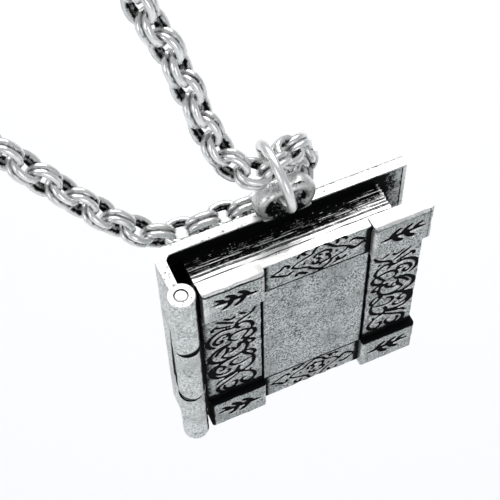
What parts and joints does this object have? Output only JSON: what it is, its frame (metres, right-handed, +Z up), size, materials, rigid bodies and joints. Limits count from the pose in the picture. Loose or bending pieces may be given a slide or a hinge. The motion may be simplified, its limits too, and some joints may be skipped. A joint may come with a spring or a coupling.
{
  "type": "book pendant necklace",
  "caption": "Necklace with a small hinged metal book as its pendant, on a jump ring and a double link chain with a plain barrel clasp.",
  "frame": {"origin": "where the necklace bears on the back of the neck, in front of the clasp's middle", "axes": "+Z up, -Y out of the book's front cover, +X to the right of a viewer who faces the front cover"},
  "size_m": [0.1191, 0.1247, 0.1529],
  "materials": {
    "cover_silver": "cast, polished on the high places, blackened in the recesses",
    "page_edges": "cast and blackened, bright along the edges",
    "bright_wire": "bright polished",
    "chain_silver": "bright polished with dark joins"
  },
  "bodies": {
    "neck_chain": {"chain": "chain_silver", "jump_ring": "bright_wire", "clasp": "chain_silver"},
    "book": {"back_cover": "cover_silver", "page_block": "page_edges", "hinge_pin": "bright_wire"},
    "cover": {"front_cover": "cover_silver"}
  },
  "joints": [
    {"name": "pendant_swing", "type": "hinge", "parent": "neck_chain", "child": "book", "pos_m": [0.0408, -0.11375, -0.12187], "axis": [0, 1, 0], "range_deg": [-15, 15]},
    {"name": "cover_hinge", "type": "hinge", "parent": "book", "child": "cover", "pos_m": [0.02836, -0.11891, -0.1372], "axis": [0, 0, -1], "range_deg": [0, 175]}
  ]
}
